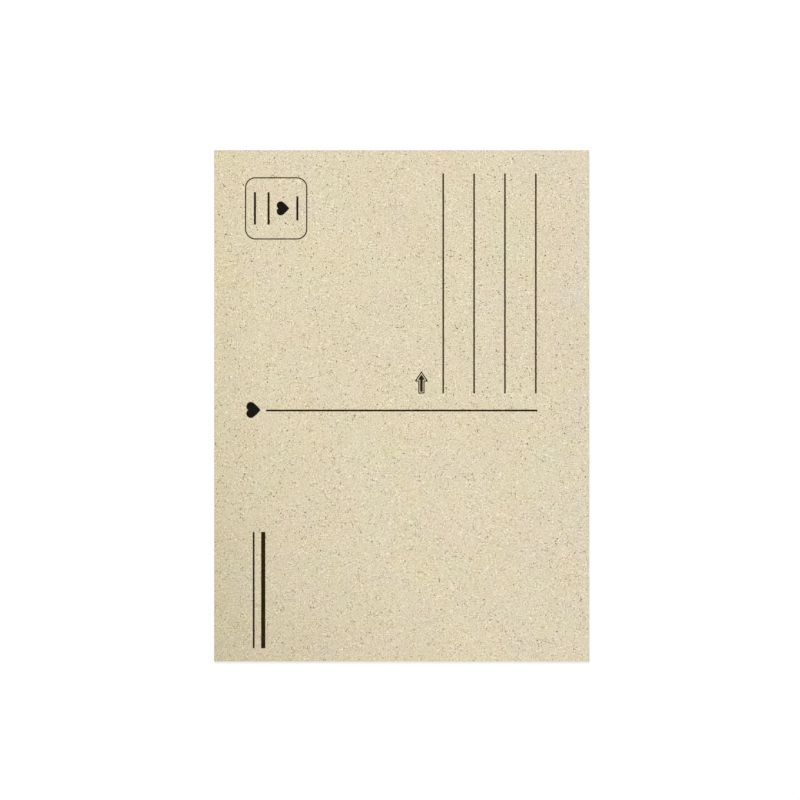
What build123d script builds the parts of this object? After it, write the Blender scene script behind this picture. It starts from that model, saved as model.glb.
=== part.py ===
from build123d import *
from math import asin, atan2, cos, degrees, hypot, radians, sin, sqrt
import os

# A postcard lying flat with its address side up, in millimetres. The print reads along +Y and the
# written page runs down along +X, so left, right, top and bottom below are those of the card as it
# is read: left is -Y, right is +Y, top is -X and bottom is +X. The origin is the middle of the
# underside, which is the picture side.

# Card, and the ink that lies level with its face
CARD_HEIGHT = 110.0
CARD_LENGTH = 150.0
CARD_THICKNESS = 0.5
INK_DEPTH = 0.03

# Divider between the message and the address, with a heart at its head
DIVIDER_STROKE = 0.41
DIVIDER_LEFT_SHIFT = 1.41
DIVIDER_BOTTOM_MARGIN = 15.2
DIVIDER_HEART_WIDTH = 4.58
DIVIDER_HEART_HEIGHT = 4.02
DIVIDER_HEART_NOTCH = 0.57
DIVIDER_HEART_TOP_MARGIN = 9.5
DIVIDER_HEART_RIGHT_SHIFT = 0.16
DIVIDER_HEART_GAP = 1.77

# Address lines, from the divider to the right-hand margin
ADDRESS_LINE_COUNT = 4
ADDRESS_LINE_STROKE = 0.33
ADDRESS_LINE_PITCH = 9.06
ADDRESS_DIVIDER_GAP = 5.05
ADDRESS_RIGHT_MARGIN = 6.93
ADDRESS_BOTTOM_MARGIN = 15.61

# Stamp place: a square frame with round corners, a heart, and short rules above and below the heart
STAMP_SIDE = 18.15
STAMP_CORNER_RADIUS = 3.0
STAMP_STROKE = 0.21
STAMP_TOP_MARGIN = 9.12
STAMP_RIGHT_MARGIN = 8.03
STAMP_RULE_STROKE = 0.5
STAMP_RULE_LONG = 9.4
STAMP_RULE_SHORT = 7.0
STAMP_RULE_INSET = 2.85
STAMP_RULE_PITCH = 4.0
STAMP_HEART_WIDTH = 4.01
STAMP_HEART_HEIGHT = 3.56
STAMP_HEART_NOTCH = 0.46

# Angle, in degrees, that the hearts' flanks turn outwards at the tip from a straight flank
HEART_BULGE = 8.0

# Thin and thick rule at the top of the message half
IMPRINT_LENGTH = 34.0
IMPRINT_LEFT_MARGIN = 3.9
IMPRINT_TOP_MARGIN = 11.6
IMPRINT_PITCH = 2.8
IMPRINT_THIN_STROKE = 0.4
IMPRINT_THICK_STROKE = 1.1

# Edges of the card, and the lines that more than one mark is set from
left_edge = -CARD_LENGTH / 2
right_edge = CARD_LENGTH / 2
top_edge = -CARD_HEIGHT / 2
bottom_edge = CARD_HEIGHT / 2
divider_y = -DIVIDER_LEFT_SHIFT
divider_heart_tip_x = top_edge + DIVIDER_HEART_TOP_MARGIN + DIVIDER_HEART_HEIGHT
stamp_top_x = top_edge + STAMP_TOP_MARGIN
stamp_middle_y = right_edge - STAMP_RIGHT_MARGIN - STAMP_SIDE / 2


def reading_rule(x, start_y, end_y, stroke):
    """A straight rule along a line of reading, with square ends."""
    return Pos(x, (start_y + end_y) / 2) * Rectangle(stroke, end_y - start_y)


def heart(tip_x, axis_y, width, height, notch):
    """A heart with its tip at the bottom: two round lobes, and bulging flanks that leave them smoothly.

    The lobes cross on the heart's axis, a notch deep below their tops, and that sets their radius. A
    straight flank would touch its lobe and end at the tip. The flank is the arc that does the same and
    comes to the tip at a wider angle.
    """
    lobe_radius = width / 2 + notch - sqrt(width * notch)
    lobe_x = lobe_radius - height
    lobe_y = width / 2 - lobe_radius
    tip_to_lobe = hypot(lobe_x, lobe_y)
    straight_angle = atan2(lobe_y, -lobe_x) + asin(lobe_radius / tip_to_lobe)
    flank_angle = straight_angle + radians(HEART_BULGE)
    lobe_offset = lobe_radius + lobe_x * sin(flank_angle) + lobe_y * cos(flank_angle)
    flank_radius = (lobe_radius**2 - tip_to_lobe**2) / (2 * lobe_offset)
    flank_x = -flank_radius * sin(flank_angle)
    flank_y = -flank_radius * cos(flank_angle)

    tip_turn = 90 - degrees(flank_angle)
    touch_turn = degrees(atan2(lobe_y - flank_y, lobe_x - flank_x))
    notch_turn = 180 + degrees(atan2(lobe_y, lobe_radius - notch))
    flank = CenterArc((flank_x, flank_y), flank_radius, tip_turn, touch_turn - tip_turn)
    lobe = CenterArc((lobe_x, lobe_y), lobe_radius, touch_turn, notch_turn - touch_turn)
    right = Curve() + [flank, lobe]
    return Pos(tip_x, axis_y) * make_face(right + mirror(right, Plane.XZ))


def divider_marks():
    """The line down the middle of the card, and the heart above its head."""
    line_top_x = divider_heart_tip_x + DIVIDER_HEART_GAP
    line_bottom_x = bottom_edge - DIVIDER_BOTTOM_MARGIN
    line_length = line_bottom_x - line_top_x
    line = Pos((line_top_x + line_bottom_x) / 2, divider_y) * Rectangle(line_length, DIVIDER_STROKE)
    head = heart(
        divider_heart_tip_x,
        divider_y + DIVIDER_HEART_RIGHT_SHIFT,
        DIVIDER_HEART_WIDTH,
        DIVIDER_HEART_HEIGHT,
        DIVIDER_HEART_NOTCH,
    )
    return {"divider_line": line, "divider_heart": head}


def address_marks():
    """The writing lines, numbered from the top and set up from the card's bottom edge."""
    start_y = divider_y + ADDRESS_DIVIDER_GAP
    end_y = right_edge - ADDRESS_RIGHT_MARGIN
    last_x = bottom_edge - ADDRESS_BOTTOM_MARGIN
    marks = {}
    for number in range(1, ADDRESS_LINE_COUNT + 1):
        x = last_x - (ADDRESS_LINE_COUNT - number) * ADDRESS_LINE_PITCH
        marks[f"address_line_{number}"] = reading_rule(x, start_y, end_y, ADDRESS_LINE_STROKE)
    return marks


def stamp_marks():
    """The stamp's frame, two rules above the heart and one below it, all on the frame's middle line."""
    inner_side = STAMP_SIDE - 2 * STAMP_STROKE
    outline = RectangleRounded(STAMP_SIDE, STAMP_SIDE, STAMP_CORNER_RADIUS)
    outline -= RectangleRounded(inner_side, inner_side, STAMP_CORNER_RADIUS - STAMP_STROKE)
    marks = {"stamp_frame": Pos(stamp_top_x + STAMP_SIDE / 2, stamp_middle_y) * outline}

    first_x = stamp_top_x + STAMP_RULE_INSET
    second_x = first_x + STAMP_RULE_PITCH
    third_x = stamp_top_x + STAMP_SIDE - STAMP_RULE_INSET
    rules = ((first_x, STAMP_RULE_LONG), (second_x, STAMP_RULE_LONG), (third_x, STAMP_RULE_SHORT))
    for number, (x, length) in enumerate(rules, start=1):
        start_y = stamp_middle_y - length / 2
        end_y = stamp_middle_y + length / 2
        marks[f"stamp_rule_{number}"] = reading_rule(x, start_y, end_y, STAMP_RULE_STROKE)

    heart_tip_x = (second_x + third_x + STAMP_HEART_HEIGHT) / 2
    marks["stamp_heart"] = heart(
        heart_tip_x, stamp_middle_y, STAMP_HEART_WIDTH, STAMP_HEART_HEIGHT, STAMP_HEART_NOTCH
    )
    return marks


def imprint_marks():
    """A thin rule with a thick one under it, in the top left corner of the message half."""
    start_y = left_edge + IMPRINT_LEFT_MARGIN
    end_y = start_y + IMPRINT_LENGTH
    thin_x = top_edge + IMPRINT_TOP_MARGIN
    thick_x = thin_x + IMPRINT_PITCH
    return {
        "imprint_thin_rule": reading_rule(thin_x, start_y, end_y, IMPRINT_THIN_STROKE),
        "imprint_thick_rule": reading_rule(thick_x, start_y, end_y, IMPRINT_THICK_STROKE),
    }


def ink(mark):
    """The ink of one mark, soaked into the board from its face, and level with it."""
    return extrude(Pos(0, 0, CARD_THICKNESS) * mark, -INK_DEPTH)


def bare_card():
    """The cut sheet, square at its corners."""
    return Pos(0, 0, CARD_THICKNESS / 2) * Box(CARD_HEIGHT, CARD_LENGTH, CARD_THICKNESS)


marks = {**divider_marks(), **address_marks(), **stamp_marks(), **imprint_marks()}
pieces = {name: ink(mark) for name, mark in marks.items()}
pieces["card"] = bare_card() - list(pieces.values())

os.makedirs("parts", exist_ok=True)
for name, piece in pieces.items():
    piece.label = name
    export_step(piece, f"parts/{name}.step")
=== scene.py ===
# A printed postcard of grass board, lying flat with its address side up, seen from straight above.
import math
import random
import bpy
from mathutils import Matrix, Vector, noise
from mathutils.geometry import delaunay_2d_cdt


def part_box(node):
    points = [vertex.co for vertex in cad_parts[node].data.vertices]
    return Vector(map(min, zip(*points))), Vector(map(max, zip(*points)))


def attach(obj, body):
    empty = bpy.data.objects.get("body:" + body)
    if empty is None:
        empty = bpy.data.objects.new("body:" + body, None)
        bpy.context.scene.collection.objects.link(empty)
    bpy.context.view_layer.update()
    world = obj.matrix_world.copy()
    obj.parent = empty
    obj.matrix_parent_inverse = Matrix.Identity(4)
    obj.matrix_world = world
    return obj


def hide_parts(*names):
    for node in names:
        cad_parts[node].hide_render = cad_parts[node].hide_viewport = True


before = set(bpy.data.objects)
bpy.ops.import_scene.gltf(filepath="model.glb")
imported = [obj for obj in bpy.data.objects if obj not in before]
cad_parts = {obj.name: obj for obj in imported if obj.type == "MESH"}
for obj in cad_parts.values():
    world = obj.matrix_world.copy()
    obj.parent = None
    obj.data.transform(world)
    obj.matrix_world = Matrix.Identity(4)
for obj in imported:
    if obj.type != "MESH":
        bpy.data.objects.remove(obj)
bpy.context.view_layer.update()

# One millimetre in metres
MM = 0.001

# The card's box, the level of its address side, its printed marks, and the level that their ink goes down to
CARD_LOW, CARD_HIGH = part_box("card")
FACE_Z = CARD_HIGH.z
INK_NODES = sorted(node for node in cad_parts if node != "card")
INK_BOTTOM_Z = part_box(INK_NODES[0])[0].z

# Faces of the card, by the way that they look along Z
ADDRESS_SIDE = 1
PICTURE_SIDE = -1

# All pieces of the card, so that a lamp can light them alone
CARD_PIECES = bpy.data.collections.new("card_pieces")

# Board: its mesh's step, the round of its cut edges, the band where the relief runs out, and the cut's waves
BOARD_STEP = 1.0 * MM
EDGE_ROUND = 0.06 * MM
EDGE_BAND = 0.16 * MM
CUT_WAVE_PERIOD = 1.6 * MM
CUT_WAVE_DEPTH = 0.02 * MM

# Relief: periods and depths of the waves that drying leaves, and a shift that sets the two faces apart
RELIEF_WAVES = ((9.0 * MM, 0.010 * MM), (3.6 * MM, 0.006 * MM))
RELIEF_SHIFT = 37.0

# Ink films: how far they stand above the board, the steps of their mesh, and how their edges bleed
INK_RISE = 0.012 * MM
INK_STEP = 0.2 * MM
INK_INNER_STEP = 0.7 * MM
INK_SPREAD = 0.07 * MM
BLEED_PERIOD = 0.32 * MM
BLEED_WIDTH = 0.03 * MM

# Film triangles: decimals that tell corners apart, which triangles are kept, and how near points merge
CORNER_DECIMALS = 8
INSIDE_OUTLINES = 1
MERGE_REACH = 1e-9

# Squares of the face that a mark's edge runs through or beside, and their size. No fleck shows there.
EDGE_SQUARE = 0.25 * MM
ink_edges = set()

# Arrow before the address lines, which points the way the print reads
ARROW_LENGTH = 6.4 * MM
ARROW_HEAD_LENGTH = 2.9 * MM
ARROW_HEAD_HALF = 1.9 * MM
ARROW_SHAFT_HALF = 0.85 * MM
ARROW_OUTLINE = 0.32 * MM
ARROW_INLINE = 0.2 * MM
ARROW_ABOVE_LINE = 6.39 * MM

# Bits pressed into both faces: how far they and a fleck's rim stand proud, and how deep they sit
BIT_RISE = 0.008 * MM
FLECK_RIM_RISE = 0.1 * BIT_RISE
FLECK_SINK = 0.012 * MM
FIBRE_SINK = 0.010 * MM

# Flecks: corners, the spread of their sizes' logarithms, the largest size, the longest shape and raggedness
FLECK_CORNERS = 7
FLECK_SPREAD = 0.38
FLECK_LARGEST = 1.9
FLECK_STRETCH = 1.9
FLECK_RAGGED = 0.2

# Fibres: sides, steps from end to end, spread of lengths, bend in radians, and part of a step cut off a tip
FIBRE_SIDES = 4
FIBRE_STEPS = 8
FIBRE_SPREAD = 0.5
FIBRE_BEND = 0.9
FIBRE_BLUNT = 0.15

# Camera: where the photographed frame's middle lies on the card, and its width there
CAMERA_LENS = 100.0
CAMERA_SENSOR = 36.0
VIEW_WIDTH = 234.73 * MM
VIEW_CENTRE_X = -0.467 * MM
VIEW_CENTRE_Y = 1.668 * MM

# Sockets that share a name with others of their node, so that only a number tells them apart
MIX_FACTOR, MIX_A, MIX_B, MIX_RESULT = 0, 6, 7, 2
MAP_FROM_LOW, MAP_FROM_HIGH, MAP_TO_LOW, MAP_TO_HIGH = 7, 8, 9, 10


def linear(hex_colour):
    """An sRGB hex colour as linear red, green, blue and alpha."""
    parts = [int(hex_colour[i:i + 2], 16) / 255 for i in (1, 3, 5)]
    return [c / 12.92 if c <= 0.04045 else ((c + 0.055) / 1.055) ** 2.4 for c in parts] + [1.0]


def add(tree, kind, inputs=None, stops=None, **settings):
    """A shader node with its settings, its input values or links, and the stops of its colour ramp."""
    node = tree.nodes.new("ShaderNode" + kind)
    for name, value in settings.items():
        setattr(node, name, value)
    for socket, value in (inputs or {}).items():
        if isinstance(value, bpy.types.NodeSocket):
            tree.links.new(value, node.inputs[socket])
        else:
            node.inputs[socket].default_value = value
    for index, (position, colour) in enumerate(stops or []):
        elements = node.color_ramp.elements
        element = elements[index] if index < len(elements) else elements.new(position)
        element.position = position
        element.color = linear(colour)
    return node


def new_material(name):
    """A node material with no shader yet, its tree, and object coordinates in millimetres."""
    material = bpy.data.materials.new(name)
    material.use_nodes = True
    tree = material.node_tree
    tree.nodes.clear()
    metres = add(tree, "TexCoord").outputs["Object"]
    millimetres = add(tree, "VectorMath", {0: metres, "Scale": 1 / MM}, operation="SCALE")
    return material, tree, millimetres.outputs["Vector"]


def pulp_clumps(tree, place):
    """Where the pulp clumps: how far specks reach, which is further in a clump, and how much the grain is
    calmed, which is more between clumps."""
    # Millimetres
    clump_size = 2.4
    clump = add(tree, "TexNoise", {"Vector": place, "Scale": 1 / clump_size, "Detail": 1.0})
    clumping = {"Value": clump.outputs["Fac"], "From Min": 0.35, "From Max": 0.65}
    crowd = add(tree, "MapRange", {**clumping, "To Min": 0.5, "To Max": 1.4})
    calm = add(tree, "MapRange", {**clumping, "To Min": 0.5, "To Max": 0.0})
    return crowd.outputs["Result"], calm.outputs["Result"]


def sandy_pulp(tree, place, calm):
    """The pulp's sandy grain: its colour, drawn towards the usual one where it is calm, and its height."""
    # Millimetres. The pulp's own grain is too fine to show, so it is drawn about as coarse as the specks.
    grain_size = 0.42
    usual = "#E1D4B8"
    grain = add(tree, "TexNoise", {"Vector": place, "Scale": 1 / grain_size, "Detail": 3.0,
                                   "Roughness": 0.6})
    pulp = add(tree, "ValToRGB", {"Fac": grain.outputs["Fac"]},
               stops=[(0.36, "#C6B897"), (0.5, usual), (0.64, "#FAEED5")])
    settled = add(tree, "Mix", {MIX_FACTOR: calm, MIX_A: pulp.outputs["Color"], MIX_B: linear(usual)},
                  data_type="RGBA")
    return settled.outputs[MIX_RESULT], grain.outputs["Fac"]


def husk_specks(tree, place, crowd, colour):
    """A colour with ragged brown and pale specks over it, few of them large. They lean, so that none runs
    down a cut edge."""
    # Millimetres
    spacing = 0.53
    size = 0.19
    ragged_size = 0.13
    ragged_depth = 0.12
    # The power of chance that makes large specks few
    rareness = 3.0
    level = add(tree, "SeparateXYZ", {"Vector": place}).outputs["Z"]
    leaning = add(tree, "VectorMath", {0: level, 1: (1.0, 1.0, 0.0), 2: place}, operation="MULTIPLY_ADD")
    torn = add(tree, "TexNoise", {"Vector": place, "Scale": 1 / ragged_size, "Detail": 1.0})
    ragged = add(tree, "VectorMath", {0: torn.outputs["Color"], 1: (ragged_depth, ragged_depth, 0.0),
                                      2: leaning.outputs["Vector"]}, operation="MULTIPLY_ADD")
    cell = add(tree, "TexVoronoi", {"Vector": ragged.outputs["Vector"], "Scale": 1 / spacing},
               voronoi_dimensions="2D")
    chance = add(tree, "SeparateColor", {"Color": cell.outputs["Color"]})
    rare = add(tree, "Math", {0: chance.outputs["Red"], 1: rareness}, operation="POWER")
    large = add(tree, "Math", {0: rare.outputs["Value"], 1: size / spacing}, operation="MULTIPLY")
    reach = add(tree, "Math", {0: large.outputs["Value"], 1: crowd}, operation="MULTIPLY")
    speck = add(tree, "MapRange", {"Value": cell.outputs["Distance"], "From Min": reach.outputs["Value"],
                                   "From Max": 0.0, "To Max": 1.8}, interpolation_type="SMOOTHSTEP")
    husk = add(tree, "ValToRGB", {"Fac": chance.outputs["Green"]},
               stops=[(0.32, "#FFF6DE"), (0.36, "#76541A"), (1.0, "#967130")])
    specked = add(tree, "Mix", {MIX_FACTOR: speck.outputs["Result"], MIX_A: colour,
                                MIX_B: husk.outputs["Color"]}, data_type="RGBA")
    return specked.outputs[MIX_RESULT]


def pulp_clouds(tree, place, colour):
    """A colour that drifts slowly in tint, as the pulp clouds."""
    # Millimetres
    cloud_size = 13.0
    cloud = add(tree, "TexNoise", {"Vector": place, "Scale": 1 / cloud_size, "Detail": 3.0,
                                   "Roughness": 0.75})
    drift = add(tree, "MapRange", {"Vector": cloud.outputs["Color"], MAP_FROM_LOW: (0.3, 0.3, 0.3),
                                   MAP_FROM_HIGH: (0.7, 0.7, 0.7), MAP_TO_LOW: (0.972, 0.972, 0.948),
                                   MAP_TO_HIGH: (1.028, 1.028, 1.052)}, data_type="FLOAT_VECTOR")
    clouded = add(tree, "VectorMath", {0: colour, 1: drift.outputs["Vector"]}, operation="MULTIPLY")
    return clouded.outputs["Vector"]


def light_tint_and_dark_rim(tree, place, colour):
    """A colour with painted light on it: a shade warmer and darker towards the top edge, and a shade
    bluer-grey towards the bottom edge, as the light's tint shifts across the card. It is also a shade darker
    along the rim."""
    # Millimetres
    dark_rim_width = 0.5
    down = add(tree, "SeparateXYZ", {"Vector": place}).outputs["X"]
    across = add(tree, "MapRange", {"Value": down, "From Min": CARD_LOW.x / MM, "From Max": CARD_HIGH.x / MM})
    # Painted light: a shade warmer and darker towards the top edge, a shade bluer-grey towards the bottom
    # edge
    tint_of_light = add(tree, "ValToRGB", {"Fac": across.outputs["Result"]},
              stops=[(0.0, "#FCFCF4"), (0.12, "#FFFFFC"), (0.75, "#FFFFFE"), (1.0, "#FDFDFF")])
    light_tinted = add(tree, "VectorMath", {0: colour, 1: tint_of_light.outputs["Color"]}, operation="MULTIPLY")
    out = add(tree, "VectorMath", {0: place}, operation="ABSOLUTE")
    inward = add(tree, "VectorMath", {0: tuple(CARD_HIGH / MM), 1: out.outputs["Vector"]},
                 operation="SUBTRACT")
    edges = add(tree, "SeparateXYZ", {"Vector": inward.outputs["Vector"]})
    nearest = add(tree, "Math", {0: edges.outputs["X"], 1: edges.outputs["Y"]}, operation="MINIMUM")
    # Up to four and a half percent darker within half a millimetre of the rim
    rim_darkening = add(tree, "MapRange", {"Value": nearest.outputs["Value"], "From Max": dark_rim_width,
                                    "To Min": 0.955, "To Max": 1.0})
    cut = add(tree, "VectorMath", {0: light_tinted.outputs["Vector"], "Scale": rim_darkening.outputs["Result"]},
              operation="SCALE")
    return cut.outputs["Vector"]


def grass_board():
    """Uncoated board of wood pulp and dried grass, pressed but not glazed. It is dull and straw coloured,
    with a sandy grain, brown and pale specks that gather in clumps, and slow drifts of tint where the pulp
    clouds. Painted light makes it a shade warmer and darker towards the top edge and a shade bluer-grey
    towards the bottom edge, and it is a shade darker along the rim."""
    material, tree, place = new_material("grass_board")
    crowd, calm = pulp_clumps(tree, place)
    pulp, grain = sandy_pulp(tree, place, calm)
    specked = husk_specks(tree, place, crowd, pulp)
    clouded = pulp_clouds(tree, place, specked)
    light_tinted = light_tint_and_dark_rim(tree, place, clouded)
    bump = add(tree, "Bump", {"Height": grain, "Strength": 1.0, "Distance": 0.004 * MM})
    paper = add(tree, "BsdfPrincipled", {"Base Color": light_tinted, "Normal": bump.outputs["Normal"],
                                         "Roughness": 0.92, "IOR": 1.5, "Specular IOR Level": 0.2})
    add(tree, "OutputMaterial", {"Surface": paper.outputs["BSDF"]})
    return material


def black_ink(name, deep, usual, pricked):
    """Black offset ink drunk in by uncoated board. It is a warm, dull near-black, and the tips of the fibres
    show through it as faint brown pricks. A narrow mark holds less ink, so the straw colour tints it."""
    # Millimetres. Fibre tips are finer than this, and are drawn coarse enough to show.
    prick_size = 0.35
    material, tree, place = new_material(name)
    prick = add(tree, "TexNoise", {"Vector": place, "Scale": 1 / prick_size, "Detail": 1.0})
    cover = add(tree, "ValToRGB", {"Fac": prick.outputs["Fac"]},
                stops=[(0.0, deep), (0.6, usual), (0.8, pricked)])
    bump = add(tree, "Bump", {"Height": prick.outputs["Fac"], "Strength": 1.0, "Distance": 0.002 * MM})
    ink = add(tree, "BsdfPrincipled", {"Base Color": cover.outputs["Color"],
                                       "Normal": bump.outputs["Normal"], "Roughness": 0.8, "IOR": 1.5,
                                       "Specular IOR Level": 0.08})
    add(tree, "OutputMaterial", {"Surface": ink.outputs["BSDF"]})
    return material


def plant_bit(name, dark, light):
    """Dried plant, chopped and pressed into the sheet. It is dull, and its shade goes from dark to light from
    bit to bit and along a fibre."""
    # Millimetres. Streaks inside one bit are too fine to show, and are drawn as long as two or three bits.
    streak_size = 0.5
    material, tree, place = new_material(name)
    streak = add(tree, "TexNoise", {"Vector": place, "Scale": 1 / streak_size, "Detail": 2.0})
    shade = add(tree, "ValToRGB", {"Fac": streak.outputs["Fac"]}, stops=[(0.3, dark), (0.7, light)])
    bit = add(tree, "BsdfPrincipled", {"Base Color": shade.outputs["Color"], "Roughness": 0.85, "IOR": 1.5,
                                       "Specular IOR Level": 0.2})
    add(tree, "OutputMaterial", {"Surface": bit.outputs["BSDF"]})
    return material


def background_ray(tree):
    """1 for a ray that shows the background, straight to the camera, mirrored or through glass, or else 0."""
    path = add(tree, "LightPath")
    mirrored = add(tree, "Math", {0: path.outputs["Is Camera Ray"], 1: path.outputs["Is Glossy Ray"]},
                   operation="MAXIMUM")
    through = add(tree, "Math", {0: mirrored.outputs["Value"], 1: path.outputs["Is Transmission Ray"]},
                  operation="MAXIMUM")
    return through.outputs["Value"]


def white_laminate():
    """Matt white laminate. What the camera sees of it is lifted to white, and it keeps the card's shadow."""
    lift = 0.322
    material, tree, _ = new_material("white_laminate")
    matt = add(tree, "BsdfDiffuse", {"Color": linear("#F7F7F7")})
    strength = add(tree, "Math", {0: background_ray(tree), 1: lift}, operation="MULTIPLY")
    glow = add(tree, "Emission", {"Strength": strength.outputs["Value"]})
    both = add(tree, "AddShader", {0: matt.outputs["BSDF"], 1: glow.outputs["Emission"]})
    add(tree, "OutputMaterial", {"Surface": both.outputs["Shader"]})
    return material


def relief(x, y, side):
    """How far in from its outermost level a face lies at a place."""
    depth = 0.0
    for period, height in RELIEF_WAVES:
        wave = noise.noise(Vector((x / period, y / period, side * RELIEF_SHIFT)))
        depth += height * (1 + wave) / 2
    return depth


def face_z(x, y, side):
    """The level of one of the board's faces at a place."""
    if side == ADDRESS_SIDE:
        return FACE_Z - relief(x, y, side)
    return CARD_LOW.z + relief(x, y, side)


def put(name, data, place=(0.0, 0.0, 0.0)):
    """An object that holds a mesh, a lamp or a camera, put into the scene at a place."""
    thing = bpy.data.objects.new(name, data)
    thing.location = place
    bpy.context.scene.collection.objects.link(thing)
    return thing


def new_mesh(name, points, faces, material):
    """A mesh of one material."""
    mesh = bpy.data.meshes.new(name)
    mesh.from_pydata(points, [], faces)
    mesh.materials.append(material)
    mesh.validate()
    return mesh


def new_piece(name, points, faces, material, node=None):
    """A mesh piece of the card that rides on it, and stands for a CAD node if one is named."""
    piece = put(name, new_mesh(name, points, faces, material))
    CARD_PIECES.objects.link(piece)
    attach(piece, "root")
    if node:
        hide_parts(node)
    return piece


def spaced(low, high, step):
    """Evenly spaced places from low to high, about a step apart."""
    count = max(1, round((high - low) / step))
    return [low + (high - low) * i / count for i in range(count + 1)]


def shifted(loop, steps):
    """A closed outline that starts a few points later."""
    return loop[steps:] + loop[:steps]


def grid_rim(last_i, last_j):
    """The places on a grid's rim, once round, by their numbers across and along."""
    places = [(i, 0) for i in range(last_i)]
    places += [(last_i, j) for j in range(last_j)]
    places += [(i, last_j) for i in range(last_i, 0, -1)]
    places += [(0, j) for j in range(last_j, 0, -1)]
    return places


def cut_section():
    """The cut edge's section from the address side down: how far in from the edge, and the level."""
    halfway = EDGE_ROUND * (1 - math.sqrt(0.5))
    top = [(EDGE_ROUND, FACE_Z), (halfway, FACE_Z - halfway), (0.0, FACE_Z - EDGE_ROUND)]
    middle = [(0.0, (FACE_Z + CARD_LOW.z) / 2)]
    return top + middle + [(inset, CARD_LOW.z + FACE_Z - z) for inset, z in reversed(top)]


def board_piece():
    """The sheet: two gently uneven faces, joined by a cut edge that is rounded and a little wavy."""
    xs = spaced(CARD_LOW.x + EDGE_BAND, CARD_HIGH.x - EDGE_BAND, BOARD_STEP)
    ys = spaced(CARD_LOW.y + EDGE_BAND, CARD_HIGH.y - EDGE_BAND, BOARD_STEP)
    across = len(xs)
    last_i, last_j = across - 1, len(ys) - 1
    points = [(x, y, face_z(x, y, ADDRESS_SIDE)) for y in ys for x in xs]
    under = len(points)
    points += [(x, y, face_z(x, y, PICTURE_SIDE)) for y in ys for x in xs]
    faces = []
    for j in range(last_j):
        for i in range(last_i):
            k = j * across + i
            faces.append((k, k + 1, k + across + 1, k + across))
            faces.append((under + k, under + k + across, under + k + across + 1, under + k + 1))

    rim = grid_rim(last_i, last_j)
    rings = [[j * across + i for i, j in rim]]
    for inset, z in cut_section():
        rings.append(list(range(len(points), len(points) + len(rim))))
        for i, j in rim:
            out_x = (i == last_i) - (i == 0)
            out_y = (j == last_j) - (j == 0)
            wave = noise.noise(Vector((xs[i], ys[j], z)) / CUT_WAVE_PERIOD) * CUT_WAVE_DEPTH
            out = EDGE_BAND - inset - abs(wave)
            points.append((xs[i] + out_x * out, ys[j] + out_y * out, z))
    rings.append([under + k for k in rings[0]])
    for upper, lower in zip(rings, rings[1:]):
        for k in range(len(rim)):
            following = (k + 1) % len(rim)
            faces.append((upper[k], lower[k], lower[following], upper[following]))
    piece = new_piece("grass_board_sheet", points, faces, grass_board(), "card")
    piece.data.shade_smooth()


def printed_outline(node):
    """The closed outlines of a CAD mark's printed face, which is the one above the middle of its ink."""
    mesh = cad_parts[node].data
    middle_z = (FACE_Z + INK_BOTTOM_Z) / 2
    corners = [tuple(round(c, CORNER_DECIMALS) for c in v.co[:2]) for v in mesh.vertices]
    sides = set()
    for face in mesh.polygons:
        if all(mesh.vertices[i].co.z > middle_z for i in face.vertices):
            ring = [corners[i] for i in face.vertices]
            sides.update(zip(ring, shifted(ring, 1)))
    following = {a: b for a, b in sides if (b, a) not in sides}
    loops = []
    while following:
        start = min(following)
        loop = [start]
        step = following.pop(start)
        while step != start:
            loop.append(step)
            step = following.pop(step)
        loops.append(loop)
    return loops


def bled(outline):
    """An outline with points close together, moved in and out where the ink ran along the fibres."""
    loop = [Vector(corner) for corner in outline]
    places = []
    for a, b in zip(loop, shifted(loop, 1)):
        count = math.ceil((b - a).length / INK_STEP)
        places += [a.lerp(b, i / count) for i in range(count)]
    moved = []
    for before, here, after in zip(shifted(places, -1), places, shifted(places, 1)):
        along = (after - before).normalized()
        run = INK_SPREAD + noise.noise(Vector((here.x, here.y, FACE_Z)) / BLEED_PERIOD) * BLEED_WIDTH
        moved.append(here + Vector((along.y, -along.x)) * run)
    return moved


def inside(x, y, loops):
    """Whether a place is inked: inside an odd number of the outlines."""
    odd = False
    for loop in loops:
        for a, b in zip(loop, shifted(loop, 1)):
            if (a.y > y) != (b.y > y) and x < a.x + (b.x - a.x) * (y - a.y) / (b.y - a.y):
                odd = not odd
    return odd


def filled(loops):
    """Points and triangles that fill a mark's outlines, with every triangle turned to the address side."""
    flat = [p for loop in loops for p in loop]
    sides = []
    for loop in loops:
        first = len(sides)
        sides += [(first + i, first + (i + 1) % len(loop)) for i in range(len(loop))]
    low_x, high_x = min(p.x for p in flat), max(p.x for p in flat)
    low_y, high_y = min(p.y for p in flat), max(p.y for p in flat)
    if min(high_x - low_x, high_y - low_y) > INK_INNER_STEP:
        grid_ys = spaced(low_y, high_y, INK_INNER_STEP)
        grid = [Vector((x, y)) for x in spaced(low_x, high_x, INK_INNER_STEP) for y in grid_ys]
        flat += [p for p in grid if inside(p.x, p.y, loops)]
    places, _, triangles, *_ = delaunay_2d_cdt(flat, sides, [], INSIDE_OUTLINES, MERGE_REACH)
    inked = []
    for triangle in triangles:
        a, b, c = (places[i] for i in triangle)
        middle = (a + b + c) / 3
        if inside(middle.x, middle.y, loops):
            inked.append(tuple(triangle) if (b - a).cross(c - a) > 0 else tuple(reversed(triangle)))
    return places, inked


def square(x, y):
    """The square of the face that a place lies in, by its numbers across and along."""
    return math.floor(x / EDGE_SQUARE), math.floor(y / EDGE_SQUARE)


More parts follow.
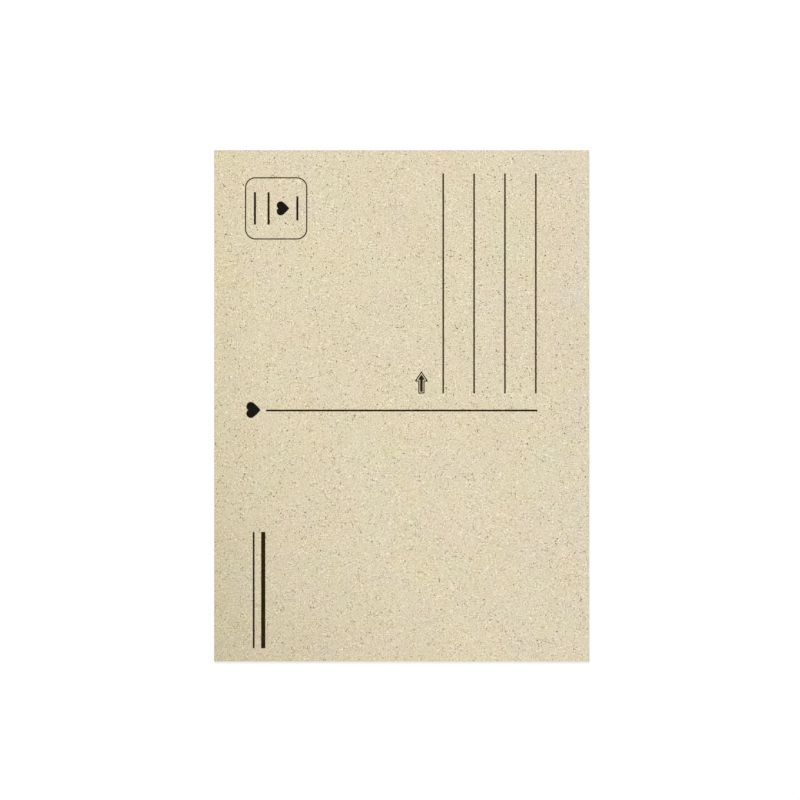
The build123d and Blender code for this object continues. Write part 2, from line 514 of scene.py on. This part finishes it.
def ink_film(name, outlines, material, node=None):
    """A mark's ink: a closed film over the board's relief, sunk as deep as the CAD ink. The squares at its
    edge are noted, so that no fleck shows there."""
    loops = [bled(outline) for outline in outlines]
    for across, along in (square(p.x, p.y) for loop in loops for p in loop):
        ink_edges.update((across + i, along + j) for i in (-1, 0, 1) for j in (-1, 0, 1))
    places, inked = filled(loops)
    count = len(places)
    points = [(p.x, p.y, face_z(p.x, p.y, ADDRESS_SIDE) + INK_RISE) for p in places]
    points += [(p.x, p.y, INK_BOTTOM_Z) for p in places]
    edges = {side for triangle in inked for side in zip(triangle, shifted(triangle, 1))}
    faces = inked + [tuple(count + i for i in reversed(triangle)) for triangle in inked]
    faces += [(b, a, count + a, count + b) for a, b in sorted(edges) if (b, a) not in edges]
    new_piece(name, points, faces, material, node)


def arrow_outline(inset):
    """The arrow's outline drawn in by an inset, about the middle of its tail."""
    half_angle = math.atan2(ARROW_HEAD_HALF, ARROW_HEAD_LENGTH)
    tip = ARROW_LENGTH - inset / math.sin(half_angle)
    neck = ARROW_LENGTH - ARROW_HEAD_LENGTH + inset
    barb = (tip - neck) * math.tan(half_angle)
    shaft = ARROW_SHAFT_HALF - inset
    right = [(shaft, inset), (shaft, neck), (barb, neck)]
    return right + [(0.0, tip)] + [(-x, y) for x, y in reversed(right)]


def address_arrow(material):
    """The arrow printed above the first address line: a solid core inside a fine outline."""
    line_low, line_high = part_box("address_line_1")
    tail_x = (line_low.x + line_high.x) / 2 - ARROW_ABOVE_LINE
    outlines = []
    for inset in (0.0, ARROW_OUTLINE, ARROW_OUTLINE + ARROW_INLINE):
        outlines.append([(tail_x + x, line_low.y + y) for x, y in arrow_outline(inset)])
    ink_film("address_arrow_ink", outlines, material)


def scattered(rng, margin):
    """A place anywhere on the card, a margin in from its edges."""
    x = rng.uniform(CARD_LOW.x + margin, CARD_HIGH.x - margin)
    y = rng.uniform(CARD_LOW.y + margin, CARD_HIGH.y - margin)
    return x, y


def fleck_piece(name, count, radius, material, seed):
    """Bits of bran, husk or pulp pressed into both faces: flat, ragged lenses that stand a little proud. The
    ones at a mark's edge are left out, because its ink covers them."""
    rng = random.Random(seed)
    points, faces = [], []
    for side in (ADDRESS_SIDE, PICTURE_SIDE):
        for _ in range(count):
            x, y = scattered(rng, EDGE_BAND + 2 * radius)
            size = radius * min(FLECK_LARGEST, math.exp(rng.gauss(0.0, FLECK_SPREAD)))
            stretch = rng.uniform(1.0, FLECK_STRETCH)
            turn = rng.uniform(0.0, math.pi)
            reaches = [size * rng.uniform(1 - FLECK_RAGGED, 1 + FLECK_RAGGED) for _ in range(FLECK_CORNERS)]
            if side == ADDRESS_SIDE and square(x, y) in ink_edges:
                continue
            first = len(points)
            for k, reach in enumerate(reaches):
                angle = math.tau * k / FLECK_CORNERS
                u, v = reach * stretch * math.cos(angle), reach / stretch * math.sin(angle)
                px = x + u * math.cos(turn) - v * math.sin(turn)
                py = y + u * math.sin(turn) + v * math.cos(turn)
                points.append((px, py, face_z(px, py, side) + side * FLECK_RIM_RISE))
            level = face_z(x, y, side)
            points.append((x, y, level + side * BIT_RISE))
            points.append((x, y, level - side * FLECK_SINK))
            crown, root = first + FLECK_CORNERS, first + FLECK_CORNERS + 1
            for k in range(FLECK_CORNERS):
                a, b = first + k, first + (k + 1) % FLECK_CORNERS
                upper, lower = (a, b, crown), (b, a, root)
                faces += [upper, lower] if side == ADDRESS_SIDE else [upper[::-1], lower[::-1]]
    new_piece(name, points, faces, material)


def fibre_piece(name, count, length, width, material, seed):
    """Grass fibres pressed into both faces: thin bent slivers that taper to blunt tips at both ends. Each
    section of one has a point at its left, its crown, its right and its root."""
    rng = random.Random(seed)
    points, faces = [], []
    for side in (ADDRESS_SIDE, PICTURE_SIDE):
        for _ in range(count):
            reach = length * rng.uniform(1 - FIBRE_SPREAD, 1 + FIBRE_SPREAD)
            x, y = scattered(rng, EDGE_BAND + (1 + FIBRE_SPREAD) * length)
            heading = rng.uniform(0.0, math.tau)
            bend = rng.gauss(0.0, FIBRE_BEND) / FIBRE_STEPS
            first = len(points)
            for k in range(FIBRE_STEPS + 1):
                along = (k + FIBRE_BLUNT) / (FIBRE_STEPS + 2 * FIBRE_BLUNT)
                swell = width / 2 * math.sin(math.pi * along)
                left_x, left_y = -math.sin(heading) * swell, math.cos(heading) * swell
                level = face_z(x, y, side)
                points.append((x + left_x, y + left_y, level))
                points.append((x, y, level + side * BIT_RISE))
                points.append((x - left_x, y - left_y, level))
                points.append((x, y, level - side * FIBRE_SINK))
                x += math.cos(heading) * reach / FIBRE_STEPS
                y += math.sin(heading) * reach / FIBRE_STEPS
                heading += bend
            last = first + FIBRE_SIDES * FIBRE_STEPS
            sliver = [tuple(range(first + FIBRE_SIDES - 1, first - 1, -1))]
            for near in range(first, last, FIBRE_SIDES):
                far = near + FIBRE_SIDES
                for s in range(FIBRE_SIDES):
                    t = (s + 1) % FIBRE_SIDES
                    sliver.append((near + s, near + t, far + t, far + s))
            sliver.append(tuple(range(last, last + FIBRE_SIDES)))
            faces += sliver if side == ADDRESS_SIDE else [face[::-1] for face in sliver]
    new_piece(name, points, faces, material)


def table():
    """The white table top that the card lies on, a hair below it. Past its ends the white sky goes on."""
    half, gap = 0.36, 0.02 * MM
    corners = [(-half, -half), (half, -half), (half, half), (-half, half)]
    points = [(x, y, CARD_LOW.z - gap) for x, y in corners]
    top = put("white_table", new_mesh("white_table", points, [(0, 1, 2, 3)], white_laminate()))


def white_sky():
    """An even light from all round, which the camera sees as plain white."""
    sky_strength = 0.58
    world = bpy.data.worlds.new("white_sky")
    world.use_nodes = True
    tree = world.node_tree
    tree.nodes.clear()
    white = linear("#FFFFFF")
    lit = add(tree, "Background", {"Color": white, "Strength": sky_strength})
    plain = add(tree, "Background", {"Color": white, "Strength": 1.0})
    sky = add(tree, "MixShader", {0: background_ray(tree), 1: lit.outputs["Background"],
                                  2: plain.outputs["Background"]})
    add(tree, "OutputWorld", {"Surface": sky.outputs["Shader"]})
    bpy.context.scene.world = world


def fill_lamp():
    """A soft box beyond the right-hand end of the card as it is read, which looks at the card's middle."""
    place, size, power = Vector((-0.9, 2.72, 1.86)), 1.6, 41.4
    lamp = bpy.data.lights.new("fill_lamp", "AREA")
    lamp.shape = "DISK"
    lamp.size = size
    lamp.energy = power
    holder = put("fill_lamp", lamp, place)
    holder.rotation_euler = (-place).to_track_quat("-Z", "Y").to_euler()


def pool_lamp():
    """A lamp overhead that lights the card alone. The edge of its pool, between an inner and an outer radius,
    crosses one corner of the card, which is left a little darker. Strength is how bright it makes a white
    face right below it."""
    middle_x, middle_y, height = 238 * MM, 134 * MM, 2.5
    inner, outer, strength = 299 * MM, 377 * MM, 0.24
    bulb_radius, tint = 0.03, "#F7FCFF"
    inner_cosine, outer_cosine = math.cos(math.atan2(inner, height)), math.cos(math.atan2(outer, height))
    lamp = bpy.data.lights.new("pool_lamp", "SPOT")
    lamp.spot_size = 2 * math.atan2(outer, height)
    lamp.spot_blend = 1 - (1 - inner_cosine) / (1 - outer_cosine)
    lamp.shadow_soft_size = bulb_radius
    lamp.color = linear(tint)[:3]
    lamp.energy = strength * 4 * math.pi ** 2 * height ** 2
    holder = put("pool_lamp", lamp, (middle_x, middle_y, height))
    holder.light_linking.receiver_collection = CARD_PIECES


def camera_above():
    """The camera, straight above the card."""
    camera = bpy.data.cameras.new("camera")
    camera.lens = CAMERA_LENS
    camera.sensor_width = CAMERA_SENSOR
    height = VIEW_WIDTH * CAMERA_LENS / CAMERA_SENSOR
    bpy.context.scene.camera = put("camera", camera, (VIEW_CENTRE_X, VIEW_CENTRE_Y, FACE_Z + height))
    bpy.context.scene.view_settings.view_transform = "Standard"


board_piece()
heart_ink = black_ink("black_ink", "#0C0B08", "#110F0B", "#3A3324")
line_ink = black_ink("thin_black_ink", "#201700", "#281D02", "#4E4020")
for node in INK_NODES:
    ink = heart_ink if node.endswith("heart") else line_ink
    ink_film(node + "_ink", printed_outline(node), ink, node)
address_arrow(line_ink)

# Bits in each face: how many, a fleck's usual radius or a fibre's length and width, what they are, and a seed
fleck_piece("bran_flecks", 1150, 0.11 * MM, plant_bit("bran", "#3C2F0A", "#5A4B1A"), 11)
fleck_piece("olive_flecks", 950, 0.11 * MM, plant_bit("olive_husk", "#4A4110", "#695E25"), 12)
fleck_piece("rust_flecks", 390, 0.11 * MM, plant_bit("rust_husk", "#603D0E", "#865F25"), 13)
fleck_piece("pulp_flecks", 2100, 0.15 * MM, plant_bit("bleached_pulp", "#F9EDD1", "#FFF4DC"), 16)
fibre_piece("straw_fibres", 150, 1.7 * MM, 0.10 * MM, plant_bit("straw", "#CDBE93", "#F3E8C8"), 14)
fibre_piece("grass_fibres", 90, 1.5 * MM, 0.09 * MM, plant_bit("dried_grass", "#A59A6C", "#BDB283"), 15)
fibre_piece("stem_fibres", 110, 1.5 * MM, 0.13 * MM, plant_bit("dried_stem", "#4C3A17", "#6E5728"), 17)

table()
white_sky()
fill_lamp()
pool_lamp()
camera_above()
